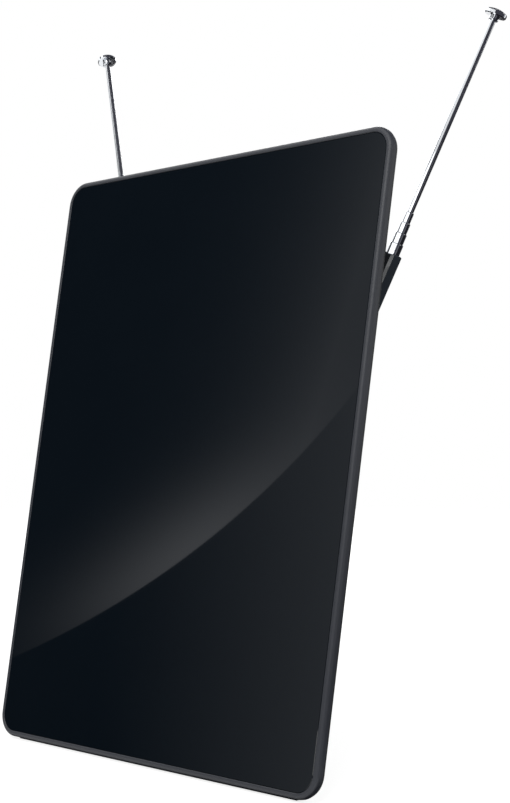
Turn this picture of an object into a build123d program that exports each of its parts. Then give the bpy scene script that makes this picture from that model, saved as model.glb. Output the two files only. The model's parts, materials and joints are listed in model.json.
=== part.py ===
from build123d import *
import math
import os

# Flat indoor television antenna: a slim glossy panel that leans back on a fold-out leg,
# with two telescopic rods that swing on arms behind it.
# It is drawn lying on its back, face up, in millimetres: x to the right, y up the panel,
# z out of the face. Depths are counted from the front of the rim towards the back.
# At the end each piece is stood up on the foot strip and the leg.

# Front of the panel
lean = 10
face_width = 222
face_height = 298
face_corner = 9
face_thickness = 1.5
face_set_back = 0.2
face_edge = 0.25
rim_width = 3
rim_round = 2
rim_inner_edge = 0.25
shell_depth = 3.6
shell_plate = 1.2
shell_wall = 2.4
bond_gap = 0.1

# Rear cover and its screws
slab_depth = 6.4
cover_step = 0.3
cover_round = 2.4
cover_wall = 1.6
cover_side = 3
lip_height = 0.5
lip_gap = 0.1
screw_inset = 11
screw_boss_radius = 2.8
screw_radius = 0.95
screw_length = 2.7
screw_head_radius = 1.9
screw_head_height = 0.9
screw_sunk = 0.1
screw_gap = 0.15
seat_gap = 0.05

# Rear housing that stands out of the cover
hump_width = 132
hump_height = 72
hump_low = 104
hump_corner = 14
hump_draft = 4
hump_wall = 2
hump_round = 4
hump_foot_round = 3

# Swing arms and their pivots
rod_depth = 33.2
pivot_spacing = 92.8
pivot_height = 138
left_splay = 20.1
right_splay = 22.3
arm_length = 125.9
arm_width = 7.8
arm_edge = 1.1
arm_end_edge = 0.6
arm_taper = 34
knuckle_radius = 10
bush_radius = 4.5
bush_length = 5.2
pivot_radius = 2
pivot_head_radius = 4
pivot_head_height = 1.8
pivot_recess_gap = 0.8
pivot_boss_radius = 9
pivot_boss_height = 1.4
nut_sides = 6
pivot_nut_width = 7
pivot_nut_height = 3
pivot_tail = 1
drag_washer_radius = 8
drag_washer_thickness = 0.5
spring_washer_radius = 3.8
spring_washer_thickness = 0.5
tag_radius = 4.4
tag_thickness = 0.5
tag_tail_length = 9
tag_tail_width = 3
run_gap = 0.05
fit_gap = 0.02

# Cross recess in a screw head, as shares of the head
cross_span = 0.6
cross_slot = 0.16
cross_depth = 0.5

# Telescopic rods
tip_diameter = 3
tube_step = 0.9
tube_wall = 0.28
slide_count = 4
collapsed_show = 5.15
crimp_length = 0.9
crimp_edge = 0.3
guide_length = 6
foot_room = 3
left_reach = 121
right_reach = 92.4
tip_length = 136
cap_radius = 5.3
cap_rim = 1.7
cap_dome = 1.5
cap_edge = 0.4
cap_collar_radius = 2.4
cap_collar_height = 2.2
cap_bead = 0.35
cap_socket = 3

# Leg, its hinge and the rubber
hinge_drop = 7
hinge_forward = 5
hinge_pin_radius = 1.5
hinge_barrel_radius = 3.8
hinge_ear = 4
hinge_side_gap = 0.4
leg_spread = 12
leg_width = 46
leg_plate = 2.6
leg_flange = 2
leg_flange_depth = 5.5
leg_foot_wall = 3
leg_rib_count = 3
leg_rib = 1.4
leg_rib_depth = 4.4
leg_corner = 3
leg_pad_thickness = 2
leg_pad_edge = 0.6
stop_rise = 1.4
stop_gap = 0.15
stop_width = 26
strip_length = 200
strip_depth = 2.6
strip_rise = 2.8
strip_drop = 0.5
strip_behind = 0.4

# Coaxial jack
jack_across = 44
jack_thread_radius = 4.76
jack_thread_length = 8
jack_thread_edge = 0.4
jack_neck_radius = 4.6
jack_bore_radius = 3.4
jack_flange_radius = 5.8
jack_flange_length = 3
jack_back_wall = 1.5
jack_contact_radius = 1.1
jack_contact_bore = 0.55
jack_contact_depth = 8
jack_contact_recess = 2
jack_tail_radius = 0.6
jack_tail_overlap = 3
jack_insulator_recess = 1
jack_nut_width = 12.5
jack_nut_height = 2.4
jack_washer_radius = 7
jack_washer_thickness = 0.7
jack_boss_radius = 8.5
jack_boss_height = 0.8
jack_boss_inside = 4

# Inner pieces
film_width = 196
film_height = 262
film_corner = 4
film_thickness = 0.35
foil_thickness = 0.15
foil_width = 150
foil_height = 96
foil_corner = 12
foil_trace = 9
foil_split = 8
board_width = 64
board_height = 40
board_thickness = 1.2
board_post_radius = 3.2
board_post_height = 4.6
board_post_inset = 5
board_screw_radius = 1.2
board_screw_head_radius = 2.3
board_screw_head_height = 1.2
board_screw_bite = 4
core_length = 14
core_width = 9
core_height = 6.5
core_hole_radius = 1.5
core_hole_spacing = 5
core_margin = 2
lead_radius = 0.5
lead_spacing = 18
wire_radius = 0.6
wire_bend = 1.5
wire_overlap = 2

# Worked out from the above
panel_width = face_width + 2 * rim_width
panel_height = face_height + 2 * rim_width
panel_corner = face_corner + rim_width
panel_middle = panel_height / 2
plate_front = face_set_back + face_thickness
plate_back = plate_front + shell_plate
cover_inside = slab_depth - cover_wall
lip_wall = cover_step + cover_side - shell_wall - lip_gap
screw_seat = slab_depth - screw_head_height - screw_sunk
arm_half = arm_width / 2
arm_front = rod_depth - arm_half
washer_front = arm_front - run_gap - drag_washer_thickness
hump_depth = washer_front - pivot_boss_height
hump_inside = hump_depth - hump_wall
hump_middle = hump_low + hump_height / 2
board_back = hump_inside - board_post_height
board_front = board_back - board_thickness
board_low = hump_middle - board_height / 2
tag_front = hump_inside - tag_thickness
foil_back = plate_back + film_thickness + foil_thickness
bush_back = arm_front + bush_length
pivot_seat = bush_back + run_gap + spring_washer_thickness
hinge_height = hump_low - hinge_drop
hinge_depth = hump_depth - hinge_forward
stop_height = hump_low - stop_rise
jack_depth = board_front - jack_tail_radius - fit_gap
jack_seat = hump_low - jack_boss_height
jack_neck_length = jack_washer_thickness + jack_nut_height
jack_inside = jack_boss_height + jack_boss_inside
tube_start = bush_radius + run_gap
slide_start = tube_start + foot_room

# How the drawing is stood up: turned by the lean, with the foot strip's middle on the floor
lean_sine = math.sin(math.radians(lean))
lean_cosine = math.cos(math.radians(lean))
strip_middle = slab_depth + strip_behind - strip_depth / 2
floor_shift_y = strip_drop * lean_sine - strip_middle * lean_cosine
floor_shift_z = strip_drop * lean_cosine + strip_middle * lean_sine
stand_up = Pos(0, floor_shift_y, floor_shift_z) * Rot(90 - lean, 0, 0)
hinge_above_floor = hinge_height * lean_cosine - hinge_depth * lean_sine + floor_shift_z
leg_length = hinge_above_floor / math.cos(math.radians(leg_spread))
leg_opening = leg_spread + lean
ground_size = 2 * panel_height
ground = Pos(0, 0, -panel_height) * Box(ground_size, ground_size, ground_size)
below_floor = stand_up.inverse() * ground


def slab(width, height, corner, front, back):
    """A rounded plate centred on the panel, between two depths."""
    outline = RectangleRounded(width, height, corner)
    return Pos(0, panel_middle, -back) * extrude(outline, amount=back - front)


def block(x_range, y_range, depth_range):
    """A plain block between two limits each way, the last of them depths."""
    ranges = (x_range, y_range, depth_range)
    size = [high - low for low, high in ranges]
    x, y, depth = [(low + high) / 2 for low, high in ranges]
    return Pos(x, y, -depth) * Box(*size)


def post(radius, place, front, back):
    """A round post square to the panel, between two depths."""
    x, y = place
    return Pos(x, y, -(front + back) / 2) * Cylinder(radius, back - front)


def ring(radius, hole, place, front, back):
    """A flat washer square to the panel."""
    return post(radius, place, front, back) - post(hole, place, front, back)


def bar(radius, x_range, y, depth):
    """A round bar along x."""
    low, high = x_range
    return Pos((low + high) / 2, y, -depth) * Rot(0, 90, 0) * Cylinder(radius, high - low)


def turned(points):
    """A turned piece about the z axis, from a profile of radius and height."""
    corners = [(radius, 0, height) for radius, height in points]
    return revolve(make_face(Polyline(*corners, close=True)), axis=Axis.Z)


def hexagon(across_flats):
    """The outline of a nut."""
    return RegularPolygon(across_flats / 2, nut_sides, major_radius=False)


def screw(place, radius, tip, seat, head_radius, head_height, head_way):
    """A pan-head screw square to the panel. Its head goes back (1) or forward (-1) from the seat."""
    x, y = place
    top = seat + head_way * head_height
    body = post(radius, place, min(tip, seat), max(tip, seat))
    body += post(head_radius, place, min(seat, top), max(seat, top))
    floor = top - head_way * head_height * cross_depth
    span = head_radius * cross_span
    slot = head_radius * cross_slot
    depths = (min(floor, top), max(floor, top))
    body -= block((x - span, x + span), (y - slot, y + slot), depths)
    body -= block((x - slot, x + slot), (y - span, y + span), depths)
    return body


def screw_places():
    """The cover screws: the corners, and the middle of each edge."""
    across = panel_width / 2 - screw_inset
    up = panel_height / 2 - screw_inset
    corners = [(side * across, panel_middle + end * up) for side in (-1, 1) for end in (-1, 1)]
    sides = [(side * across, panel_middle) for side in (-1, 1)]
    ends = [(0, panel_middle + end * up) for end in (-1, 1)]
    return corners + sides + ends


def pivot_places():
    """The two pivots behind the housing."""
    return [(side * pivot_spacing / 2, pivot_height) for side in (-1, 1)]


def board_post_places():
    """The four posts that carry the matching board."""
    across = board_width / 2 - board_post_inset
    up = board_height / 2 - board_post_inset
    return [(side * across, hump_middle + end * up) for side in (-1, 1) for end in (-1, 1)]


def near(edges, middle_y, width, height):
    """The edges whose middles lie within a rectangle seen from the front."""
    inside = [edge for edge in edges if abs(edge.center().X) < width / 2]
    return [edge for edge in inside if abs(edge.center().Y - middle_y) < height / 2]


def gloss_panel():
    """The glossy sheet set into the front shell."""
    sheet = slab(face_width, face_height, face_corner, face_set_back, plate_front)
    return chamfer(sheet.faces().sort_by(Axis.Z)[-1].edges(), face_edge)


def front_shell():
    """The satin front shell: rim, bed for the glossy sheet, and screw bosses."""
    shell = slab(panel_width, panel_height, panel_corner, 0, shell_depth)
    shell = fillet(shell.faces().sort_by(Axis.Z)[-1].edges(), rim_round)
    bed_width = face_width + 2 * bond_gap
    bed_height = face_height + 2 * bond_gap
    shell -= slab(bed_width, bed_height, face_corner + bond_gap, -rim_round, plate_front)
    front_loops = shell.edges().filter_by_position(Axis.Z, 0, 0)
    bed_loop = near(front_loops, panel_middle, bed_width + bond_gap, bed_height + bond_gap)
    shell = chamfer(bed_loop, rim_inner_edge)
    pocket_width = panel_width - 2 * shell_wall
    pocket_height = panel_height - 2 * shell_wall
    shell -= slab(pocket_width, pocket_height, panel_corner - shell_wall, plate_back, shell_depth)
    for place in screw_places():
        shell += post(screw_boss_radius, place, plate_front, cover_inside - seat_gap)
    for place in screw_places():
        shell -= post(screw_radius + fit_gap, place, screw_seat - screw_length - fit_gap, slab_depth)
    return shell


def hump_block(inset, front, back, rounding):
    """The drafted block of the rear housing, set in from its outside, between two depths."""
    outline = RectangleRounded(hump_width - 2 * inset, hump_height - 2 * inset, hump_corner - inset)
    start = Plane((0, hump_middle, -front), x_dir=(1, 0, 0), z_dir=(0, 0, -1))
    body = extrude(start * outline, amount=back - front, taper=hump_draft)
    return fillet(body.faces().sort_by(Axis.Z)[0].edges(), rounding)


def hinge_ear_plate(side):
    """One ear of the leg's hinge, below the housing."""
    round_end = Pos(hinge_height, hinge_depth) * Circle(hinge_barrel_radius)
    root_place = Pos(hump_low + hump_wall, hinge_depth - hinge_drop / 2)
    root = root_place * Rectangle(hump_wall, 2 * hinge_barrel_radius + hinge_drop)
    side_on = Plane((0, 0, 0), x_dir=(0, 1, 0), z_dir=(-1, 0, 0))
    outline = side_on * make_hull(round_end.edges() + root.edges())
    inner = leg_width / 2 + hinge_side_gap
    start = inner if side > 0 else -inner - hinge_ear
    return Pos(start, 0, 0) * extrude(outline, amount=-hinge_ear)


def jack_place():
    """Where the jack's parts go: their z axis points down the panel, out of the housing."""
    return Pos(jack_across, jack_seat, -jack_depth) * Rot(90, 0, 0)


def cover_shell():
    """The rear cover's hollow moulding: slab back and drafted housing."""
    width = panel_width - 2 * cover_step
    height = panel_height - 2 * cover_step
    corner = panel_corner - cover_step
    tray = slab(width, height, corner, shell_depth, slab_depth)
    tray = fillet(tray.faces().sort_by(Axis.Z)[0].edges(), cover_round)
    cover = tray + hump_block(0, cover_inside, hump_depth, hump_round)
    back_loops = cover.edges().filter_by_position(Axis.Z, -slab_depth, -slab_depth)
    root_width = hump_width + hump_foot_round
    root_height = hump_height + hump_foot_round
    root_loop = near(back_loops, hump_middle, root_width, root_height)
    cover = fillet(root_loop, hump_foot_round)
    inner_width = width - 2 * cover_side
    inner_height = height - 2 * cover_side
    inner_corner = corner - cover_side
    cover -= slab(inner_width, inner_height, inner_corner, shell_depth, cover_inside)
    cover -= hump_block(hump_wall, cover_inside, hump_inside, hump_round - hump_wall)
    lip_width = inner_width + 2 * lip_wall
    lip_top = inner_height + 2 * lip_wall
    lip_corner = inner_corner + lip_wall
    lip = slab(lip_width, lip_top, lip_corner, shell_depth - lip_height, shell_depth)
    return cover + (lip - slab(inner_width, inner_height, inner_corner, 0, slab_depth))


def rear_cover():
    """The rear cover with its pivot bosses, hinge ears, leg stop, jack boss, posts and holes."""
    cover = cover_shell()
    boss_back = hump_depth + pivot_boss_height
    for place in pivot_places():
        cover += post(pivot_boss_radius, place, hump_inside, boss_back)
    for side in (-1, 1):
        cover += hinge_ear_plate(side)
    stop_depths = (hinge_depth - hinge_barrel_radius, hinge_depth + hinge_barrel_radius)
    cover += block((-stop_width / 2, stop_width / 2), (stop_height, hump_low + hump_wall), stop_depths)
    cover += jack_place() * Pos(0, 0, -jack_inside / 2) * Cylinder(jack_boss_radius, jack_inside)
    for place in board_post_places():
        cover += post(board_post_radius, place, board_back, hump_inside + hump_wall / 2)
    for place in board_post_places():
        cover -= post(board_screw_radius + fit_gap, place, board_back, board_back + board_screw_bite)
    for place in pivot_places():
        cover -= post(pivot_radius + screw_gap, place, cover_inside, boss_back)
    for place in screw_places():
        cover -= post(screw_radius + screw_gap, place, shell_depth, slab_depth)
        cover -= post(screw_head_radius + screw_gap, place, screw_seat, slab_depth)
    cover -= jack_place() * Cylinder(jack_neck_radius + fit_gap, 2 * jack_inside)
    ear_reach = leg_width / 2 + hinge_side_gap + hinge_ear
    cover -= bar(hinge_pin_radius + fit_gap, (-ear_reach, ear_reach), hinge_height, hinge_depth)
    strip_front = slab_depth + strip_behind - strip_depth
    half = strip_length / 2
    return cover - block((-half, half), (-strip_drop, strip_rise), (strip_front, slab_depth))


def foot_strip():
    """The rubber strip let into the cover's lower edge, flat where it meets the floor."""
    half = strip_length / 2 - fit_gap
    front = slab_depth + strip_behind - strip_depth + fit_gap
    up = (-strip_drop - strip_depth, strip_rise - fit_gap)
    strip = block((-half, half), up, (front, slab_depth + strip_behind))
    return strip - below_floor


def cover_screws():
    """Small self-tapping screws that hold the rear cover."""
    tip = screw_seat - screw_length
    head = (screw_head_radius, screw_head_height)
    return [screw(place, screw_radius, tip, screw_seat, *head, 1) for place in screw_places()]


def pivot_screws():
    """The two screws that the arms swing on."""
    tip = tag_front - pivot_nut_height - pivot_tail
    head = (pivot_head_radius, pivot_head_height)
    return [screw(place, pivot_radius, tip, pivot_seat, *head, 1) for place in pivot_places()]


def pivot_nuts():
    """The nuts inside the housing that clamp the solder tags."""
    nuts = []
    for place in pivot_places():
        outline = hexagon(pivot_nut_width) - Circle(pivot_radius + fit_gap)
        nuts.append(Pos(*place, -tag_front) * extrude(outline, amount=pivot_nut_height))
    return nuts


def solder_tags():
    """Brass tags under the nuts, with their tails towards the board."""
    tags = []
    for x, y in pivot_places():
        side = math.copysign(1, x)
        tail_end = x - side * (tag_radius + tag_tail_length)
        tag = post(tag_radius, (x, y), tag_front, hump_inside)
        tail = (y - tag_tail_width / 2, y + tag_tail_width / 2)
        tag += block(sorted((x, tail_end)), tail, (tag_front, hump_inside))
        tags.append(tag - post(pivot_radius + fit_gap, (x, y), tag_front, hump_inside))
    return tags


def drag_washers():
    """Friction washers between the housing's bosses and the arms."""
    back = arm_front - run_gap
    hole = pivot_radius + fit_gap
    return [ring(drag_washer_radius, hole, place, washer_front, back) for place in pivot_places()]


def spring_washers():
    """Spring washers under the pivot screws' heads."""
    front = pivot_seat - spring_washer_thickness
    hole = pivot_radius + fit_gap
    return [ring(spring_washer_radius, hole, place, front, pivot_seat) for place in pivot_places()]


def rod_place(side):
    """Where a rod's parts go: drawn along z from the pivot, with y towards the back."""
    splay = left_splay if side < 0 else right_splay
    pivot = Pos(side * pivot_spacing / 2, pivot_height, -rod_depth)
    return pivot * Rot(0, 0, -side * splay) * Rot(-90, 0, 0)


def arm():
    """A swing arm: a round knuckle that tapers into a bevelled sleeve for the rod."""
    knuckle = Circle(knuckle_radius)
    neck = Pos(0, arm_taper) * Circle(arm_half)
    sleeve = Pos(0, (arm_taper + arm_length) / 2) * Rectangle(arm_width, arm_length - arm_taper)
    outline = make_hull(knuckle.edges() + neck.edges()) + sleeve
    body = extrude(Plane.XZ * outline, amount=arm_half, both=True)
    body = chamfer(body.faces().filter_by(Axis.Y).edges(), arm_edge)
    body = chamfer(body.faces().sort_by(Axis.Z)[-1].edges(), arm_end_edge)
    bore_length = arm_length - tube_start
    bore = Pos(0, 0, tube_start + bore_length / 2) * Cylinder(base_radius() + fit_gap, bore_length)
    across = Rot(90, 0, 0)
    recess_depth = arm_width - bush_length
    recess = Pos(0, arm_half - recess_depth / 2, 0) * across
    body -= bore
    body -= across * Cylinder(bush_radius + fit_gap, arm_width)
    return body - recess * Cylinder(pivot_head_radius + pivot_recess_gap, recess_depth)


def bush():
    """The brass bush in an arm's knuckle."""
    place = Pos(0, -arm_half + bush_length / 2, 0) * Rot(90, 0, 0)
    return place * (Cylinder(bush_radius, bush_length) - Cylinder(pivot_radius + run_gap, bush_length))


def section_radius(number):
    """The outer radius of a rod's section, from the base tube (0) to the tip."""
    return (tip_diameter + (slide_count - number) * tube_step) / 2


def base_radius():
    """The outer radius of the tube that is fixed in the arm."""
    return section_radius(0)


def section_top(number):
    """How far a collapsed section's end is from the pivot."""
    return arm_length + (number + 1) * collapsed_show


def tube(number):
    """A drawn tube with its end crimped in round the next section, and a wider foot that guides it."""
    outer = section_radius(number)
    inner = outer - tube_wall
    lip = section_radius(number + 1) + run_gap
    top = section_top(number)
    end = [(outer, top - crimp_edge), (outer - crimp_edge, top), (lip, top), (lip, top - crimp_length)]
    if number == 0:
        return turned([(inner, tube_start), (outer, tube_start)] + end + [(inner, top - crimp_length)])
    guide = section_radius(number - 1) - tube_wall - run_gap
    guide_top = slide_start + guide_length
    foot = [(inner, slide_start), (guide, slide_start), (guide, guide_top), (outer, guide_top)]
    return turned(foot + end + [(inner, top - crimp_length)])


def tip(reach):
    """The solid last section, with a guide foot, up into the button."""
    outer = section_radius(slide_count)
    guide = section_radius(slide_count - 1) - tube_wall - run_gap
    collar = section_top(slide_count - 1) + reach
    low = collar - tip_length
    guide_top = low + guide_length
    top = collar + cap_socket
    foot = [(0, low), (guide, low), (guide, guide_top), (outer, guide_top)]
    return turned(foot + [(outer, top), (0, top)])


def cap(reach):
    """The turned mushroom button on a rod's end."""
    low = section_top(slide_count - 1) + reach
    under = low + cap_collar_height
    rim_top = under + cap_rim
    crown = rim_top + cap_dome
    bore = section_radius(slide_count) + fit_gap
    waist = cap_collar_radius - cap_bead
    inset = cap_radius - cap_edge
    bead = [(cap_collar_radius, low + cap_bead), (cap_collar_radius, low + 2 * cap_bead)]
    collar = [(waist, low)] + bead + [(waist, low + 3 * cap_bead), (cap_collar_radius, under)]
    rim = [(inset, under), (cap_radius, under + cap_edge), (cap_radius, rim_top)]
    points = [(bore, low + cap_socket), (bore, low)] + collar + rim
    outline = Polyline(*[(radius, 0, height) for radius, height in points])
    shoulder = (inset, 0, rim_top + cap_edge)
    dome_middle = dome_point(inset, rim_top + cap_edge, crown)
    dome = ThreePointArc(shoulder, dome_middle, (0, 0, crown))
    edge = Line((cap_radius, 0, rim_top), shoulder)
    axis = Polyline((0, 0, crown), (0, 0, low + cap_socket), (bore, 0, low + cap_socket))
    profile = outline.edges() + edge.edges() + dome.edges() + axis.edges()
    return revolve(make_face(profile), axis=Axis.Z)


def dome_point(radius, height, crown):
    """A point half-way along the round dome between its edge and its crown."""
    rise = crown - height
    ball = (radius ** 2 + rise ** 2) / (2 * rise)
    half = radius / 2
    return (half, 0, crown - ball + math.sqrt(ball ** 2 - half ** 2))


def leg_place():
    """Where the leg goes: drawn folded along the panel from its hinge, then swung open."""
    return Pos(0, hinge_height, -hinge_depth) * Rot(leg_opening, 0, 0)


def leg_box(x_range, y_range, z_range):
    """A block in the leg's own frame."""
    ranges = (x_range, y_range, z_range)
    x, y, z = [(low + high) / 2 for low, high in ranges]
    return Pos(x, y, z) * Box(*[high - low for low, high in ranges])


def stand_leg():
    """The fold-out leg: a plate with flanges, cross ribs, a hinge barrel, a foot wall and a stop heel."""
    half = leg_width / 2
    low = leg_pad_thickness - leg_length
    back = -hinge_barrel_radius
    leg = leg_box((-half, half), (low, 0), (back, back + leg_plate))
    leg = fillet(leg.edges().filter_by(Axis.Z).sort_by(Axis.Y)[:2], leg_corner)
    for start in (-half, half - leg_flange):
        leg += leg_box((start, start + leg_flange), (low + leg_corner, 0), (back, back + leg_flange_depth))
    inner = half - leg_corner
    leg += leg_box((-inner, inner), (low, low + leg_foot_wall), (back, back + leg_flange_depth))
    rib_spacing = -low / (leg_rib_count + 1)
    for number in range(1, leg_rib_count + 1):
        rib = low + number * rib_spacing
        leg += leg_box((-inner, inner), (rib - leg_rib / 2, rib + leg_rib / 2), (back, back + leg_rib_depth))
    lying = Rot(0, 90, 0)
    leg += lying * Cylinder(hinge_barrel_radius, leg_width)
    turn = math.radians(leg_opening)
    stop = stop_height - stop_gap - hinge_height
    heel = (stop - hinge_barrel_radius * math.sin(turn)) / math.cos(turn)
    leg += leg_box((-stop_width / 2, stop_width / 2), (0, heel), (back, 0))
    return leg_place() * (leg - lying * Cylinder(hinge_pin_radius + run_gap, leg_width))


def leg_pad():
    """The rubber shoe on the leg's end, flat where it meets the floor."""
    half = leg_width / 2 - leg_corner
    top = leg_pad_thickness - leg_length
    back = -hinge_barrel_radius
    up = (top - 2 * leg_pad_thickness, top)
    pad = leg_box((-half, half), up, (back + leg_pad_edge, back + leg_flange_depth))
    return leg_place() * pad - below_floor


def hinge_pin():
    """The steel pin through the ears and the leg's barrel."""
    reach = leg_width / 2 + hinge_side_gap + hinge_ear
    return bar(hinge_pin_radius, (-reach, reach), hinge_height, hinge_depth)


def jack_body():
    """The jack's turned body: flange inside the housing, neck, and the threaded nose outside."""
    nose = jack_neck_length + jack_thread_length
    floor = -jack_inside - jack_flange_length + jack_back_wall
    tail = -jack_inside - jack_flange_length
    hole = jack_contact_radius + run_gap
    flange = [(hole, tail), (jack_flange_radius, tail), (jack_flange_radius, -jack_inside)]
    neck = [(jack_neck_radius, -jack_inside), (jack_neck_radius, jack_neck_length)]
    thread = [(jack_thread_radius, jack_neck_length), (jack_thread_radius, nose - jack_thread_edge)]
    mouth = [(jack_thread_radius - jack_thread_edge, nose), (jack_bore_radius, nose)]
    bore = [(jack_bore_radius, floor), (hole, floor)]
    return jack_place() * turned(flange + neck + thread + mouth + bore)


def jack_insulator():
    """The white plug that holds the jack's contact."""
    nose = jack_neck_length + jack_thread_length - jack_insulator_recess
    floor = -jack_inside - jack_flange_length + jack_back_wall
    outer = jack_bore_radius - fit_gap
    inner = jack_contact_radius + fit_gap
    return jack_place() * turned([(inner, floor), (outer, floor), (outer, nose), (inner, nose)])


def jack_contact():
    """The jack's spring contact, with a tail that lies on the board."""
    nose = jack_neck_length + jack_thread_length - jack_contact_recess
    shoulder = -jack_inside - jack_flange_length
    tail = jack_seat - board_low - jack_tail_overlap
    bottom = nose - jack_contact_depth
    stem = [(0, tail), (jack_tail_radius, tail), (jack_tail_radius, shoulder)]
    sleeve = [(jack_contact_radius, shoulder), (jack_contact_radius, nose)]
    socket = [(jack_contact_bore, nose), (jack_contact_bore, bottom), (0, bottom)]
    return jack_place() * turned(stem + sleeve + socket)


def jack_washer():
    """The washer under the jack's nut."""
    hole = jack_neck_radius + fit_gap
    thickness = jack_washer_thickness
    points = [(hole, 0), (jack_washer_radius, 0), (jack_washer_radius, thickness), (hole, thickness)]
    return jack_place() * turned(points)


def jack_nut():
    """The nut that clamps the jack to the housing."""
    outline = hexagon(jack_nut_width) - Circle(jack_neck_radius + fit_gap)
    return jack_place() * Pos(0, 0, jack_washer_thickness) * extrude(outline, amount=jack_nut_height)


def element_film():
    """The plastic film behind the face that carries the flat element."""
    return slab(film_width, film_height, film_corner, plate_back, plate_back + film_thickness)


def copper_element():
    """The flat loop of foil, split into two halves, with its lower run in front of the board."""
    inner_width = foil_width - 2 * foil_trace
    inner_height = foil_height - 2 * foil_trace
    inner = RectangleRounded(inner_width, inner_height, foil_corner - foil_trace)
    loop = RectangleRounded(foil_width, foil_height, foil_corner) - inner
    loop -= Rectangle(foil_split, foil_height)
    middle = hump_middle + (foil_height - foil_trace) / 2
    halves = Pos(0, middle, -foil_back) * extrude(loop, amount=foil_thickness)
    return halves.solids()


def element_leads():
    """Straight leads from the foil to the board."""
    places = [(side * lead_spacing / 2, hump_middle) for side in (-1, 1)]
    return [post(lead_radius, place, foil_back, board_front) for place in places]


def matching_board():
    """The small board that matches the elements to the jack."""
    half = board_width / 2
    board = block((-half, half), (board_low, board_low + board_height), (board_front, board_back))
    for place in board_post_places():
        board -= post(board_screw_radius + screw_gap, place, board_front, board_back)
    return board


def balun_core():
    """The two-hole ferrite core on the board."""
    half = core_length / 2
    low = board_low + core_margin
    core = block((-half, half), (low, low + core_width), (board_front - core_height, board_front))
    for side in (-1, 1):
        x = side * core_hole_spacing / 2
        hole = Pos(x, low + core_width / 2, core_height / 2 - board_front) * Rot(90, 0, 0)
        core -= hole * Cylinder(core_hole_radius, core_width)
    return core


def board_screws():
    """The screws that hold the board to its posts."""
    tip = board_back + board_screw_bite - fit_gap
    head = (board_screw_head_radius, board_screw_head_height)
    return [screw(place, board_screw_radius, tip, board_front, *head, -1) for place in board_post_places()]


def feed_wires():
    """Short wires from the solder tags' tails to the back of the board."""
    wires = []
    depth = tag_front - wire_radius - fit_gap
    for x, y in pivot_places():
        side = math.copysign(1, x)
        start = x - side * (tag_radius + tag_tail_length - wire_overlap)
        end = side * (board_width / 2 - wire_overlap)
        path = FilletPolyline((start, y, -depth), (end, y, -depth), (end, y, -board_back), radius=wire_bend)
        section = Plane((start, y, -depth), z_dir=(-side, 0, 0)) * Circle(wire_radius)
        wires.append(sweep(section, path=path))
    return wires


pieces = {
    "gloss_panel": [gloss_panel()],
    "front_shell": [front_shell()],
    "rear_cover": [rear_cover()],
    "cover_screws": cover_screws(),
    "foot_strip": [foot_strip()],
    "stand_leg": [stand_leg()],
    "leg_pad": [leg_pad()],
    "hinge_pin": [hinge_pin()],
    "pivot_screws": pivot_screws(),
    "pivot_nuts": pivot_nuts(),
    "solder_tags": solder_tags(),
    "drag_washers": drag_washers(),
    "spring_washers": spring_washers(),
    "jack_body": [jack_body()],
    "jack_insulator": [jack_insulator()],
    "jack_contact": [jack_contact()],
    "jack_washer": [jack_washer()],
    "jack_nut": [jack_nut()],
    "element_film": [element_film()],
    "copper_element": copper_element(),
    "element_leads": element_leads(),
    "matching_board": [matching_board()],
    "balun_core": [balun_core()],
    "board_screws": board_screws(),
    "feed_wires": feed_wires(),
}
for side_name, side_sign, rod_reach in (("left", -1, left_reach), ("right", 1, right_reach)):
    rod_pieces = {"arm": arm(), "bush": bush(), "base_tube": tube(0)}
    for section_number in range(1, slide_count):
        rod_pieces[f"tube_{section_number + 1}"] = tube(section_number)
    rod_pieces["tip"] = tip(rod_reach)
    rod_pieces["cap"] = cap(rod_reach)
    for piece_name, piece in rod_pieces.items():
        pieces[f"{piece_name}_{side_name}"] = [rod_place(side_sign) * piece]

os.makedirs("parts", exist_ok=True)
for node, solids in pieces.items():
    standing = [stand_up * solid for solid in solids]
    export_step(standing[0] if len(standing) == 1 else Compound(children=standing), f"parts/{node}.step")
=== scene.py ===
# %% [markdown]
# # A flat indoor television antenna
# The object is a slim glossy panel that leans back on a fold-out leg, with two telescopic rods behind it.
# The solids come from the CAD model, in metres, standing on the floor with the face towards -Y.
# This lesson dresses those solids: materials and the jack's thread first, then the studio and the camera.

# %% Load the solids
import json
import math

import bmesh
import bpy
from mathutils import Matrix, Vector


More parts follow.
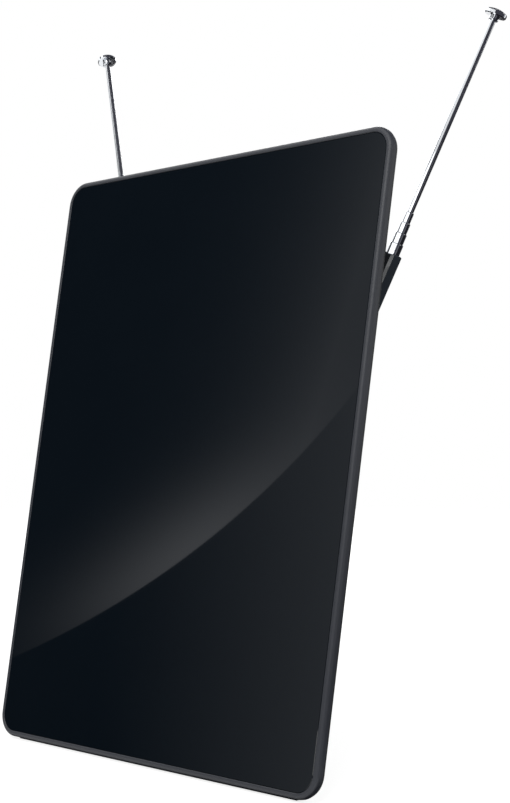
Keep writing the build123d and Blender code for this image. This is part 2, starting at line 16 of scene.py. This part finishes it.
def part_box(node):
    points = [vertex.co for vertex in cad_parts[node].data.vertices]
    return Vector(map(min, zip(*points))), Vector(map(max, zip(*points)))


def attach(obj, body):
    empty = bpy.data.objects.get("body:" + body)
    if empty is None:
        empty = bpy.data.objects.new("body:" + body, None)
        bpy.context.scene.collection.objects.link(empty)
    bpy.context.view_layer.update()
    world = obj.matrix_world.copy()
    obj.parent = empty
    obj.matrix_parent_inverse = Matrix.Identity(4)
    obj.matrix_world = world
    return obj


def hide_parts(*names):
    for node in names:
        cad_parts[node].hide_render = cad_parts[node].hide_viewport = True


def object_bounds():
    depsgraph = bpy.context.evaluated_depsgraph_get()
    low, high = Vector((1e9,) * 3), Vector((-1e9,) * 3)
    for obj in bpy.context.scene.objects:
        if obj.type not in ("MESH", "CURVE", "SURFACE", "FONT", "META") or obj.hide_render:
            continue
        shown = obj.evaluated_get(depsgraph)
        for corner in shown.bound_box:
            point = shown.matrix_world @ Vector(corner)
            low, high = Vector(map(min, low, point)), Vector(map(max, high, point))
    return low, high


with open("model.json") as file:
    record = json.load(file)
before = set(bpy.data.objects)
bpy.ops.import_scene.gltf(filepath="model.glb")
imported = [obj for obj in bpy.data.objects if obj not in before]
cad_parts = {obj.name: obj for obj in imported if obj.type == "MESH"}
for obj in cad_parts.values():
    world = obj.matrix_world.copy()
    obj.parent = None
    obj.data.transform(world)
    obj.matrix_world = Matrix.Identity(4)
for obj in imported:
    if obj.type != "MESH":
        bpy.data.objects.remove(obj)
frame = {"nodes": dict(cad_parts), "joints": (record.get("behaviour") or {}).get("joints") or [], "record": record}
cad_low, cad_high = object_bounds()
solids = frame["nodes"]
record = frame["record"]
joints = {joint["name"]: joint for joint in frame["joints"]}
MM = 0.001
size_mm = [round(v / MM, 1) for v in cad_high - cad_low]
print(len(solids), "solids,", len(joints), "joints, size in mm:", size_mm)

# %% [markdown]
# ## Tools for the materials
# A Blender material is a small tree of nodes. One function turns sRGB hex colours, as a paint program
# shows them, into the linear values that the shader wants. A second adds one node with its settings and
# links, so each material below reads as a short list.

# %% Colour and node helpers
def linear(hex_colour):
    """Linear colour with alpha from an sRGB hex value, by the curve of that standard."""
    shares = [int(hex_colour[start:start + 2], 16) / 255 for start in (1, 3, 5)]
    return [s / 12.92 if s <= 0.04045 else ((s + 0.055) / 1.055) ** 2.4 for s in shares] + [1.0]


def add(tree, kind, settings, links):
    """Add a node, set its fields or input sockets, and link the sockets that are named."""
    node = tree.nodes.new(kind)
    for name, value in settings.items():
        if isinstance(name, int) or name in node.inputs:
            node.inputs[name].default_value = value
        else:
            setattr(node, name, value)
    for name, source in links.items():
        tree.links.new(source, node.inputs[name])
    return node


print("mid grey:", [round(v, 3) for v in linear("#808080")])

# %% [markdown]
# ## A start for every material
# Every finish starts from a Principled shader with constant values on its own sockets. Then a grain is laid
# over it: one noise pattern varies the colour a little, the same one varies the gloss, and it lifts the
# surface by a real height. The sizes are those of the real texture, drawn coarser where it would not show.
# Texture coordinates are the object's own, in metres, so a pattern that repeats every few millimetres gets
# the scale one over that size.

# %% Material helpers
def finish(name, colour, roughness, metallic=0.0, ior=1.5):
    """A new material with constant values set on its shader."""
    made = bpy.data.materials.new(name)
    made.use_nodes = True
    shader = made.node_tree.nodes["Principled BSDF"]
    shader.inputs["Base Color"].default_value = linear(colour)
    shader.inputs["Roughness"].default_value = roughness
    shader.inputs["Metallic"].default_value = metallic
    shader.inputs["IOR"].default_value = ior
    return made, made.node_tree, shader


def per_mm(size):
    """The texture scale for a pattern of this size in millimetres, in coordinates of metres."""
    return 1 / (size * MM)


def grain(tree, shader, size, height, colours, gloss, stretch=None):
    """Vary colour and gloss with one noise of the given size in mm, and lift the surface by height in mm."""
    place = add(tree, "ShaderNodeTexCoord", {}, {}).outputs["Object"]
    if stretch:
        turn, shares = stretch
        place = add(tree, "ShaderNodeMapping", {"Rotation": turn}, {"Vector": place}).outputs["Vector"]
        place = add(tree, "ShaderNodeMapping", {"Scale": shares}, {"Vector": place}).outputs["Vector"]
    pattern = {"Scale": per_mm(size), "Detail": 3.0}
    noise = add(tree, "ShaderNodeTexNoise", pattern, {"Vector": place}).outputs["Fac"]
    tones = [linear(colour) for colour in colours]
    tone = add(tree, "ShaderNodeMix", {"data_type": "RGBA", 6: tones[0], 7: tones[1]}, {0: noise})
    dull = add(tree, "ShaderNodeMapRange", {"To Min": gloss[0], "To Max": gloss[1]}, {"Value": noise})
    lift = add(tree, "ShaderNodeBump", {"Strength": 1.0, "Distance": height * MM}, {"Height": noise})
    tree.links.new(tone.outputs[2], shader.inputs["Base Color"])
    tree.links.new(dull.outputs["Result"], shader.inputs["Roughness"])
    tree.links.new(lift.outputs["Normal"], shader.inputs["Normal"])


def dress(material, *names):
    """Give solids their material."""
    for name in names:
        solids[name].data.materials.clear()
        solids[name].data.materials.append(material)
    print(material.name, "on", ", ".join(names))


print("texture scale of a grain of 0.5 mm:", per_mm(0.5))

# %% [markdown]
# ## The glossy face
# The face is a cast acrylic sheet, printed black behind. Acrylic has an index of 1.49 and a polished
# surface, so it shows sharp reflections over a colour that is almost black with a breath of blue.
# A clear sheet over a black one could be built, but one dark shader with a sharp reflection looks the same.
# The only texture is the faint haze that wiping leaves, some centimetres wide.

# %% Acrylic
acrylic, tree, shader = finish("acrylic_back_printed_black", "#0b1117", roughness=0.02, ior=1.49)
grain(tree, shader, size=35, height=0.0005, colours=("#0a1016", "#0c1218"), gloss=(0.012, 0.03))
dress(acrylic, "gloss_panel")

# %% [markdown]
# ## The satin rim
# The front shell is moulded ABS with a satin graphite lacquer. A sprayed lacquer has an orange-peel skin of
# about a millimetre and a very fine speckle, which gives a soft broad highlight along the rounded rim.
# A clear coat over a rough base could give that too, but on a rim this narrow one rough surface is enough.

# %% Lacquered ABS
lacquer, tree, shader = finish("abs_satin_graphite_lacquer", "#262930", roughness=0.48)
grain(tree, shader, size=0.7, height=0.002, colours=("#23262d", "#292c33"), gloss=(0.43, 0.52))
dress(lacquer, "front_shell")

# %% [markdown]
# ## The moulded black parts
# The rear cover and the leg are black ABS from a spark-eroded mould, which leaves a fine matt grain.
# The grain is really about a third of a millimetre; it is drawn at half a millimetre so that it shows.
# It could be displaced in the mesh, but a bump gives the same matt look without millions of faces.
# The arms come from a polished mould, so they are glossy, and they carry a little blue.

# %% Moulded ABS
grained_abs, tree, shader = finish("abs_spark_grained_black", "#202225", roughness=0.55, ior=1.53)
grain(tree, shader, size=0.5, height=0.012, colours=("#1b1d20", "#27292c"), gloss=(0.46, 0.62))
dress(grained_abs, "rear_cover", "stand_leg")
gloss_abs, tree, shader = finish("abs_polished_black", "#2b3036", roughness=0.1, ior=1.53)
grain(tree, shader, size=6, height=0.001, colours=("#282d33", "#2e3339"), gloss=(0.08, 0.13))
dress(gloss_abs, "arm_left", "arm_right")

# %% [markdown]
# ## Chrome
# The rods are drawn brass tube with bright chrome. Chrome is a slightly blue grey mirror. Drawing leaves
# very fine lines along the tube. The shader's anisotropy could show them, but it needs tangents that these
# solids lack, so the noise is stretched along each rod instead: the slide joints give its way.
# The lines are really finer than a hundredth of a millimetre and are drawn wider so that they show.
# The buttons are turned and polished before plating, so they have no lines, only a soft unevenness.

# %% Chrome plate
def along(joint_name):
    """The turn that lays the z axis of a texture along a sliding joint."""
    way = Vector(joints[joint_name]["axis"])
    return way.rotation_difference(Vector((0, 0, 1))).to_euler()


rod_names = ("base_tube", "tube_2", "tube_3", "tube_4", "tip")
chrome_tones = ("#dde0e5", "#e6e9ec")
line_stretch = (1, 1, 0.004)
for side in ("left", "right"):
    chrome, tree, shader = finish("chrome_on_drawn_brass_" + side, "#e2e5e9", roughness=0.07, metallic=1.0)
    drawn = (along(side + "_slide_tip"), line_stretch)
    grain(tree, shader, size=0.25, height=0.0001, colours=chrome_tones, gloss=(0.05, 0.1), stretch=drawn)
    dress(chrome, *[f"{name}_{side}" for name in rod_names])
polished, tree, shader = finish("chrome_on_turned_brass", "#e2e5e9", roughness=0.06, metallic=1.0)
grain(tree, shader, size=4, height=0.0002, colours=chrome_tones, gloss=(0.05, 0.08))
dress(polished, "cap_left", "cap_right")

# %% [markdown]
# ## Small metal parts
# The pivots' screws, pins and washers are zinc-plated steel, with a faint mottle from the plating bath, and
# the cover's screws are blackened. The jack is nickel-plated brass, warmer than chrome. Bushes and solder
# tags are plain turned brass, and the flat element and its leads are copper, which has oxidised in patches.
# Turning marks could be added, but at this size one noise for each metal is all that shows.

# %% Small metals
zinc, tree, shader = finish("zinc_plated_steel", "#9a9c9f", roughness=0.32, metallic=1.0)
grain(tree, shader, size=0.8, height=0.002, colours=("#8e9093", "#a6a8ab"), gloss=(0.26, 0.4))
dress(zinc, "pivot_screws", "pivot_nuts", "spring_washers", "hinge_pin", "board_screws")
blackened, tree, shader = finish("blackened_steel", "#2a2b2d", roughness=0.4, metallic=1.0)
grain(tree, shader, size=0.6, height=0.002, colours=("#232426", "#343537"), gloss=(0.34, 0.48))
dress(blackened, "cover_screws")
nickel, tree, shader = finish("nickel_on_turned_brass", "#bdb6a8", roughness=0.2, metallic=1.0)
grain(tree, shader, size=0.5, height=0.001, colours=("#b3ac9e", "#c8c2b5"), gloss=(0.16, 0.28))
dress(nickel, "jack_body", "jack_washer", "jack_nut")
brass, tree, shader = finish("turned_brass", "#b08d4c", roughness=0.3, metallic=1.0)
grain(tree, shader, size=0.6, height=0.001, colours=("#a58244", "#bd9a58"), gloss=(0.24, 0.38))
dress(brass, "bush_left", "bush_right", "solder_tags", "jack_contact")
copper, tree, shader = finish("rolled_copper_foil", "#b87352", roughness=0.32, metallic=1.0)
grain(tree, shader, size=7, height=0.002, colours=("#a5623f", "#c4805f"), gloss=(0.26, 0.42))
dress(copper, "copper_element", "element_leads")

# %% [markdown]
# ## The jack's thread
# The nose of the jack carries the fine thread that a coaxial plug screws onto, 32 turns to the inch. The
# solid has a plain cylinder of the crest's size there. A bump would not change the outline, and a screw
# modifier leaves open ends, so the body is turned again as one closed mesh: its rings follow the solid's
# profile, and along the nose their radius follows a helix with flat crests, straight flanks and a short
# run-out.

# %% Shape of the thread, in millimetres
jack = next(mount for mount in record["mounts"] if mount["name"] == "jack")
crest = jack["dims"]["r_mm"]
half_thread = jack["dims"]["length_mm"] / 2
inch = 25.4
turns_per_inch = 32
pitch = inch / turns_per_inch
depth_share = 0.6
thread_depth = depth_share * pitch
flank_share = 3 / 4
run_out = 0.7


def thread_radius(height, turn):
    """The radius of the nose at a height along it and a share of a turn round it."""
    phase = (height / pitch - turn) % 1
    dip = (abs(2 * phase - 1) - (1 - flank_share) / 2) / flank_share
    ease = min((half_thread - abs(height)) / run_out, 1)
    return crest - thread_depth * min(max(dip, 0), 1) * ease


print("thread:", round(2 * half_thread / pitch, 1), "turns,", round(thread_depth, 2), "mm deep")

# %% Rings of the turned body
flange_back, flange_front, bore_floor = -14.7, -11.7, -13.2
flange_radius, neck_radius, bore_radius, contact_hole = 5.8, 4.6, 3.4, 1.15
mouth_edge = 0.4
mouth = half_thread + mouth_edge
flange_and_neck = [(flange_back, contact_hole), (flange_back, flange_radius), (flange_front, flange_radius)]
flange_and_neck += [(flange_front, neck_radius), (-half_thread, neck_radius)]
mouth_and_bore = [(mouth, crest - mouth_edge), (mouth, bore_radius)]
mouth_and_bore += [(bore_floor, bore_radius), (bore_floor, contact_hole)]
rows_per_pitch = 10
row_count = round(2 * half_thread / pitch * rows_per_pitch)
thread_rows = [half_thread * (2 * row / row_count - 1) for row in range(row_count + 1)]
spokes = 72
turns = [spoke / spokes for spoke in range(spokes)]
rings = [[(radius, height) for turn in turns] for height, radius in flange_and_neck]
rings += [[(thread_radius(height, turn), height) for turn in turns] for height in thread_rows]
rings += [[(radius, height) for turn in turns] for height, radius in mouth_and_bore]
print(len(rings), "rings of", spokes, "points")

# %% Threaded jack body
jack_middle = Vector(jack["pos_m"])
jack_tilt = Vector((0, 0, 1)).rotation_difference(Vector(jack["axis"])).to_matrix()
corners = []
for ring in rings:
    for turn, (radius, height) in zip(turns, ring):
        angle = 2 * math.pi * turn
        spot = Vector((radius * math.cos(angle), radius * math.sin(angle), height)) * MM
        corners.append(jack_middle + jack_tilt @ spot)
faces = []
for ring in range(len(rings)):
    here, there = ring * spokes, (ring + 1) % len(rings) * spokes
    for spoke in range(spokes):
        after = (spoke + 1) % spokes
        faces.append((here + spoke, here + after, there + after, there + spoke))
sharpest_smooth = math.radians(35)
jack_mesh = bpy.data.meshes.new("jack_body_threaded")
jack_mesh.from_pydata(corners, [], faces)
jack_mesh.polygons.foreach_set("use_smooth", [True] * len(faces))
jack_mesh.set_sharp_from_angle(angle=sharpest_smooth)
jack_mesh.materials.append(nickel)
threaded = bpy.data.objects.new("jack_body_threaded", jack_mesh)
bpy.context.scene.collection.objects.link(threaded)
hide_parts("jack_body")
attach(threaded, "panel")
print("threaded jack:", len(faces), "faces")

# %% [markdown]
# ## Rubber and the inner parts
# The foot strip and the leg's shoe are black moulded rubber, matt with a fine bloom. Behind the face and in
# the housing are a polyester film, a glass-fibre board with green lacquer, a ferrite core and wires, with
# white polyethylene in the jack and acetal washers at the pivots. They hardly show, so they could share one
# plain material, but a table and a loop give each its own at little cost.

# %% Rubber and inner materials
rubber, tree, shader = finish("moulded_rubber", "#141414", roughness=0.8)
grain(tree, shader, size=0.6, height=0.01, colours=("#101010", "#1b1b1a"), gloss=(0.7, 0.88))
shader.inputs["Specular IOR Level"].default_value = 0.2
dress(rubber, "foot_strip", "leg_pad")
inner_finishes = (
    ("acetal_washer", "#d8d6cf", ("#cfcdc5", "#dfddd7"), 0.45, 1.2, "drag_washers"),
    ("polyethylene_white", "#e4e3df", ("#dbdad6", "#ebeae7"), 0.4, 1.0, "jack_insulator"),
    ("polyester_film", "#b9ab86", ("#afa17c", "#c3b590"), 0.2, 12, "element_film"),
    ("glass_fibre_board_green", "#1f5a37", ("#1a5130", "#25643e"), 0.35, 0.8, "matching_board"),
    ("ferrite", "#2b2a2a", ("#242323", "#343232"), 0.6, 0.7, "balun_core"),
    ("pvc_insulated_wire", "#1c1c1e", ("#171719", "#242426"), 0.4, 1.5, "feed_wires"),
)
for name, colour, colours, roughness, size, node_name in inner_finishes:
    made, tree, shader = finish(name, colour, roughness)
    grain(tree, shader, size=size, height=0.003, colours=colours, gloss=(roughness - 0.06, roughness + 0.08))
    dress(made, node_name)

# %% [markdown]
# ## The studio
# The object stands on a plain white floor in soft light. More lamp light would whiten the floor too, but it would
# wash out the object. So the floor and the world are white for the camera and for mirrors, while the light that
# reaches the object stays at a plain level: the Light Path node tells those rays apart. The floor's white is a
# glow, and near the object that glow is a little lower, which leaves room for the shadow.

# %% White world
scene = bpy.context.scene
scene.view_settings.view_transform = "Standard"


def shown_white(tree):
    """One for rays from the camera, from mirrors and through glass, else zero."""
    seen = add(tree, "ShaderNodeLightPath", {}, {}).outputs
    pair = {0: seen["Is Camera Ray"], 1: seen["Is Glossy Ray"]}
    shown = add(tree, "ShaderNodeMath", {"operation": "MAXIMUM"}, pair).outputs[0]
    pair = {0: shown, 1: seen["Is Transmission Ray"]}
    return add(tree, "ShaderNodeMath", {"operation": "MAXIMUM"}, pair).outputs[0]


room_light = 0.4
world = bpy.data.worlds.new("white_studio")
scene.world = world
world.use_nodes = True
tree = world.node_tree
levels = {"To Min": room_light, "To Max": 1.0}
level = add(tree, "ShaderNodeMapRange", levels, {"Value": shown_white(tree)}).outputs["Result"]
tree.links.new(level, tree.nodes["Background"].inputs["Strength"])
tree.nodes["Background"].inputs["Color"].default_value = linear("#ffffff")
print("world light on the object:", room_light)

# %% White floor
floor_radius = 3.0
floor_mesh = bpy.data.meshes.new("studio_floor")
floor = bpy.data.objects.new("studio_floor", floor_mesh)
scene.collection.objects.link(floor)
disc = bmesh.new()
bmesh.ops.create_circle(disc, cap_ends=True, segments=96, radius=floor_radius)
disc.to_mesh(floor_mesh)
disc.free()
white_floor, tree, shader = finish("white_floor", "#8a8a8a", roughness=0.9)
place = add(tree, "ShaderNodeTexCoord", {}, {}).outputs["Object"]
distance = add(tree, "ShaderNodeVectorMath", {"operation": "LENGTH"}, {0: place}).outputs["Value"]
near_to_far = {"From Min": 0.3, "From Max": 1.1, "To Min": 0.8, "To Max": 1.0}
white_share = add(tree, "ShaderNodeMapRange", near_to_far, {"Value": distance}).outputs["Result"]
pair = {0: white_share, 1: shown_white(tree)}
shine = add(tree, "ShaderNodeMath", {"operation": "MULTIPLY"}, pair).outputs[0]
tree.links.new(shine, shader.inputs["Emission Strength"])
shader.inputs["Emission Color"].default_value = linear("#ffffff")
shader.inputs["Specular IOR Level"].default_value = 0.0
floor_mesh.materials.append(white_floor)
print("floor", 2 * floor_radius, "m across")

# %% [markdown]
# Four square lamps give the soft light: a large key lamp from the front, one from the side, one from behind
# that draws the rear edges, and a small one from the left for the front of the rim. Point lamps would draw
# hard shadows and small hot spots, so all of them are areas, as soft boxes are.

# %% Lamps
def lamp(name, place, target, size, watts):
    """A square soft lamp that looks at a target."""
    data = bpy.data.lights.new(name, "AREA")
    data.shape = "SQUARE"
    data.size = size
    data.energy = watts
    made = bpy.data.objects.new(name, data)
    made.location = place
    made.rotation_euler = (Vector(target) - Vector(place)).to_track_quat("-Z", "Y").to_euler()
    scene.collection.objects.link(made)
    return made


panel_middle = (0, 0.03, 0.17)
lamp("key_lamp", (0.5, -1.3, 1.7), panel_middle, size=1.4, watts=40)
lamp("side_lamp", (1.8, 0.3, 0.9), panel_middle, size=1.2, watts=14)
lamp("back_lamp", (-0.9, 1.6, 1.2), panel_middle, size=1.2, watts=28)
lamp("front_lamp", (-0.59, -0.87, 0.42), panel_middle, size=0.3, watts=1.0)
print("four lamps in place")

# %% [markdown]
# ## Cards for the gloss
# A glossy black face shows only what it mirrors. The photographer's trick is a card: here a dark one with a
# large round glow on it, whose curved edge makes the sweep across the face. It stands where the face's
# mirrored view goes, and only mirrors see it, so it neither lights nor shades the object. The sweep could be
# painted on the face instead, but then it would not move with the view as a reflection does.

# %% Sweep card
not_seen_by = ("camera", "diffuse", "shadow", "transmission", "volume_scatter")


def for_mirrors_only(made):
    """Put a piece of the studio where only mirrors see it."""
    scene.collection.objects.link(made)
    for ray in not_seen_by:
        setattr(made, "visible_" + ray, False)


def card(name, centre, way, width, height):
    """A flat card whose back points a way, seen by mirrors only, with x across it and y up it."""
    back = Vector(way).normalized()
    across = back.cross(Vector((0, 0, 1))).normalized()
    up = across.cross(back)
    mesh = bpy.data.meshes.new(name)
    corners = [(x * width / 2, y * height / 2, 0) for x, y in ((-1, -1), (1, -1), (1, 1), (-1, 1))]
    mesh.from_pydata(corners, [], [range(4)])
    made = bpy.data.objects.new(name, mesh)
    turn = Matrix((across, up, -back)).transposed().to_4x4()
    made.matrix_world = Matrix.Translation(centre) @ turn
    for_mirrors_only(made)
    return made


sweep = card("sweep_card", (-0.632, -0.569, 0.355), (-0.72, -0.655, 0.229), width=0.64, height=0.95)
print("sweep card at", [round(v, 3) for v in sweep.location])

# %% [markdown]
# The glow is painted with sums on the card's own coordinates, in metres, which stay smooth at any size.
# Inside a large circle it is brightest at the edge and fades inwards, and along the edge it fades to both
# sides like a bell.

# %% Glow on the sweep card
arc_centre = (0.7432, 0.4976, 0)
arc_radius = 0.9667
fade_depth, fade_power = 0.0492, 1.665
brightest = (-0.0154, -0.1019, 0)
along_arc = (0.606, -0.7955, 0)
bell_width = 0.0969
glow, tree, shader = finish("sweep_card_glow", "#000000", roughness=1.0)
shader.inputs["Specular IOR Level"].default_value = 0.0
place = add(tree, "ShaderNodeTexCoord", {}, {}).outputs["Object"]
to_centre = {"operation": "DISTANCE", 1: arc_centre}
distance = add(tree, "ShaderNodeVectorMath", to_centre, {0: place}).outputs["Value"]
inside = add(tree, "ShaderNodeMath", {"operation": "LESS_THAN", 1: arc_radius}, {0: distance}).outputs[0]
from_edge = {"operation": "SUBTRACT", 0: arc_radius, "use_clamp": True}
fade = add(tree, "ShaderNodeMath", from_edge, {1: distance}).outputs[0]
fade_steps = (("DIVIDE", fade_depth), ("POWER", fade_power), ("MULTIPLY", -1.0), ("EXPONENT", 0.0))
for operation, amount in fade_steps:
    fade = add(tree, "ShaderNodeMath", {"operation": operation, 1: amount}, {0: fade}).outputs[0]
from_brightest = {"operation": "SUBTRACT", 1: brightest}
offset = add(tree, "ShaderNodeVectorMath", from_brightest, {0: place}).outputs["Vector"]
share_along = {"operation": "DOT_PRODUCT", 1: along_arc}
bell = add(tree, "ShaderNodeVectorMath", share_along, {0: offset}).outputs["Value"]
bell_steps = (("DIVIDE", bell_width), ("POWER", 2.0), ("MULTIPLY", -0.5), ("EXPONENT", 0.0))
for operation, amount in bell_steps:
    bell = add(tree, "ShaderNodeMath", {"operation": operation, 1: amount}, {0: bell}).outputs[0]
arc_light = add(tree, "ShaderNodeMath", {"operation": "MULTIPLY"}, {0: fade, 1: bell}).outputs[0]
print("glow with an arc of", arc_radius, "m")

# %% [markdown]
# Towards its right edge the face is a little lighter, both under the arc and over it. Each is a ramp across
# the card, raised to a power so that it starts softly.

# %% Soft light towards the right edge of the face
arc_level, below_level, above_level = 0.722, 0.444, 0.4
below_ramp = ((0.984, -0.178, 0), 0.0976, -0.2059, 1.6)
above_ramp = ((1.0, 0.025, 0), 0.295, -0.1079, 6.0)
ramps = []
for way, dark_end, light_end, power in (below_ramp, above_ramp):
    share_along = {"operation": "DOT_PRODUCT", 1: way}
    across = add(tree, "ShaderNodeVectorMath", share_along, {0: place}).outputs["Value"]
    ends = {"From Min": dark_end, "From Max": light_end}
    share = add(tree, "ShaderNodeMapRange", ends, {"Value": across}).outputs["Result"]
    ramps.append(add(tree, "ShaderNodeMath", {"operation": "POWER", 1: power}, {0: share}).outputs[0])
below = add(tree, "ShaderNodeMath", {"operation": "MULTIPLY", 1: below_level}, {0: ramps[0]}).outputs[0]
above = add(tree, "ShaderNodeMath", {"operation": "MULTIPLY", 1: above_level}, {0: ramps[1]}).outputs[0]
arc_share = {"operation": "MULTIPLY_ADD", 1: arc_level}
lit = add(tree, "ShaderNodeMath", arc_share, {0: arc_light, 2: above}).outputs[0]
strength = add(tree, "ShaderNodeMix", {"data_type": "FLOAT"}, {0: inside, 2: below, 3: lit}).outputs[0]
tree.links.new(strength, shader.inputs["Emission Strength"])
shader.inputs["Emission Color"].default_value = linear("#fbfcff")
sweep.data.materials.append(glow)
print("ramps to the right edge:", len(ramps))

# %% [markdown]
# Straight in front stands another dark card that grows white towards its top. It is what the face mirrors
# when one looks at it from the front, and it darkens the lower part of the rim. It reaches down to the
# floor, because the face would mirror a gap there as a light band.

# %% Front card
front_low, front_high = 0.002, 0.45
ramp_start = 0.05
front_middle = (front_low + front_high) / 2
front_height = front_high - front_low
front = card("front_card", (0.02, -0.42, front_middle), (0, -1, 0), width=0.46, height=front_height)
ramp, tree, shader = finish("front_card_ramp", "#000000", roughness=1.0)
shader.inputs["Specular IOR Level"].default_value = 0.0
place = add(tree, "ShaderNodeTexCoord", {}, {}).outputs["Object"]
up_card = add(tree, "ShaderNodeSeparateXYZ", {}, {0: place}).outputs["Y"]
ends = {"From Min": ramp_start - front_middle, "From Max": front_high - front_middle}
share = add(tree, "ShaderNodeMapRange", ends, {"Value": up_card}).outputs["Result"]
rise = add(tree, "ShaderNodeMath", {"operation": "POWER", 1: 2.0}, {0: share}).outputs[0]
tree.links.new(rise, shader.inputs["Emission Strength"])
shader.inputs["Emission Color"].default_value = linear("#ffffff")
front.data.materials.append(ramp)
print("front card at", [round(v, 3) for v in front.location])

# %% [markdown]
# ## Screens for the chrome
# Chrome needs something dark beside it, or it vanishes against white. Dark screens stand round the right
# side, from behind the camera to the back, with a canopy over them and dark boards on the floor. They give
# each rod its dark half. Flat boards would leave gaps between them, so the screens are curved. A window in
# them lets the side of the rim mirror white, and a low screen on the left keeps that side of the rim black.
# Four lit pieces draw the light lines: a slit by the floor for the arm's edge, a dim one for the tubes, a
# strip for the crimped tube ends, and a white tent on the left for the light half of the rods.

# %% Boards
def board(name, colour, level):
    """A matt board with an even glow, faint on black as under studio light and strong on a lit white one."""
    made, tree, shader = finish(name, "#050505", roughness=1.0)
    shader.inputs["Specular IOR Level"].default_value = 0.0
    shader.inputs["Emission Color"].default_value = linear(colour)
    shader.inputs["Emission Strength"].default_value = level
    return made


velvet = board("black_velvet", "#e8e8ff", 0.015)
charcoal = board("charcoal_board", "#e8e8ff", 0.065)
grey_board = board("grey_board", "#e8e8ff", 0.085)
lit_board = board("lit_white_board", "#ffffff", 1.4)
lit_slit = board("lit_slit", "#ffffff", 2.5)
dim_slit = board("dim_slit", "#ffffff", 0.25)
lit_strip = board("lit_strip", "#ffffff", 0.45)
print("boards of velvet, charcoal, grey and four lit whites")

# %% [markdown]
# Each screen below has its board, its first and last direction in degrees, and its profile, which is a row
# of radii and heights in metres. Direction 0 is +X, and the camera stands near -42.

# %% Curved screens
def screen(name, material, first, last, profile):
    """A screen that curves round the object between two directions in degrees, from radii and heights."""
    count = 24
    rows = len(profile)
    angles = [math.radians(first + step * (last - first) / count) for step in range(count + 1)]
    corners = [(r * math.cos(angle), r * math.sin(angle), z) for angle in angles for r, z in profile]
    starts = [rows * step + row for step in range(count) for row in range(rows - 1)]
    mesh = bpy.data.meshes.new(name)
    mesh.from_pydata(corners, [], [(s, s + 1, s + rows + 1, s + rows) for s in starts])
    mesh.materials.append(material)
    for_mirrors_only(bpy.data.objects.new(name, mesh))


far, left_far = 1.05, 0.85
lying, on_boards = 0.003, 0.004
skirting_top, window_top, canopy_foot = 0.18, 0.65, 1.1
on_floor = ((0.15, lying), (far, lying))
dome_top = ((0.55, 2.0), (0.2, 2.15))
screens = (
    ("camera_floor_screen", grey_board, -50, 12, on_floor),
    ("floor_screen", velvet, 12, 100, on_floor),
    ("back_floor_screen", velvet, 100, 134.7, on_floor),
    ("left_floor_screen", velvet, 150, 204, ((0.2, lying), (left_far, lying))),
    ("skirting_screen", charcoal, -50, 118, ((far, lying), (far, skirting_top))),
    ("camera_screen", charcoal, -50, 30, ((far, skirting_top), (far, canopy_foot))),
    ("side_canopy", charcoal, 30, 118, ((far, window_top), (far, canopy_foot))),
    ("canopy", charcoal, -114, 118, ((far, canopy_foot), (0.9, 1.6), *dome_top)),
    ("roof", charcoal, 118, 165, ((0.95, 1.45), *dome_top)),
    ("back_screen", velvet, 70, 123.7, ((far, 0.14), (far, window_top))),
    ("left_screen", velvet, 140, 204, ((left_far, lying), (left_far, 0.45))),
    ("arm_slit", lit_slit, -46, -36, ((1.03, on_boards), (1.03, 0.082))),
    ("tube_slit", dim_slit, -2, 3, ((0.3, on_boards), (1.03, on_boards))),
    ("crimp_strip", lit_strip, 30, 85, ((1.04, 0.88), (1.04, canopy_foot))),
    ("tent", lit_board, 150, 250, ((1.3, 0.75), (1.3, 1.4), (1.0, 2.0), (0.5, 2.4))),
)
for name, material, first, last, profile in screens:
    screen(name, material, first, last, profile)
print(len(screens), "screens in place")

# %% [markdown]
# The lower tubes stand close behind the black panel and would mirror only its back, so a small flat lamp
# hides there. It shines towards the rods, and only mirrors see it, so the matt back of the panel stays dark.
# The jack points straight down the panel, so its axis gives the panel's own way up. An area lamp's glow is
# its watts over four times its area, so the watts follow from the glow and the size.

# %% Fill lamp behind the panel
panel_up = -Vector(jack["axis"])
panel_across = Vector((1, 0, 0))
panel_front = panel_across.cross(panel_up)
face_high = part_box("gloss_panel")[1]
top_edge = Vector((0, face_high.y, face_high.z))
fill_width, fill_height = 34 * MM, 62 * MM
fill_across, fill_behind = 101 * MM, 9.5 * MM
fill_place = top_edge + fill_across * panel_across - fill_height / 2 * panel_up - fill_behind * panel_front
fill_glow = 1.2
fill_watts = 4 * fill_glow * fill_width * fill_height
fill = lamp("fill_lamp", fill_place, fill_place - panel_front, fill_width, fill_watts)
fill.data.shape = "RECTANGLE"
fill.data.size_y = fill_height
fill.visible_camera = False
fill.visible_diffuse = False
print("fill lamp at", [round(v, 3) for v in fill_place], round(fill_watts, 4), "W")

# %% [markdown]
# A black card under the panel is painted shadow: it lies where a real floor would be in deep shadow, and only
# mirrors see it. The lower edge of the rim mirrors it.

# %% Painted shadow under the panel
shell_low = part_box("front_shell")[0]
shade_width, shade_depth = 440 * MM, 140 * MM
shade_left, shade_lift = 80 * MM, 0.3 * MM
almost_down = (0, 0.0001, -1)
shade_middle = Vector((-shade_left, shell_low.y + shade_depth / 2, shade_lift))
# Painted shadow: a black card under the panel that only mirrors see.
shade_sheet = card("painted_shadow_sheet", shade_middle, almost_down, shade_width, shade_depth)
shade_sheet.data.materials.append(velvet)
print("shadow paper at", [round(v, 3) for v in shade_middle])

# %% [markdown]
# ## The camera
# The photograph was taken from the right at about the panel's middle height, with a slightly long lens.
# Turning the camera up would make upright lines lean together, so the lens is shifted upwards instead.
# Depth of field stays off.

# %% Camera
looks_down, turned_left = 2.97, 43.92
data = bpy.data.cameras.new("camera")
data.lens = 65.6
data.sensor_width = 36
data.shift_y = 0.1513
camera = bpy.data.objects.new("camera", data)
camera.location = (0.5287, -0.4729, 0.1555)
camera.rotation_euler = (math.radians(90 - looks_down), 0, math.radians(turned_left))
scene.collection.objects.link(camera)
scene.camera = camera
print("camera", [round(v, 3) for v in camera.location])
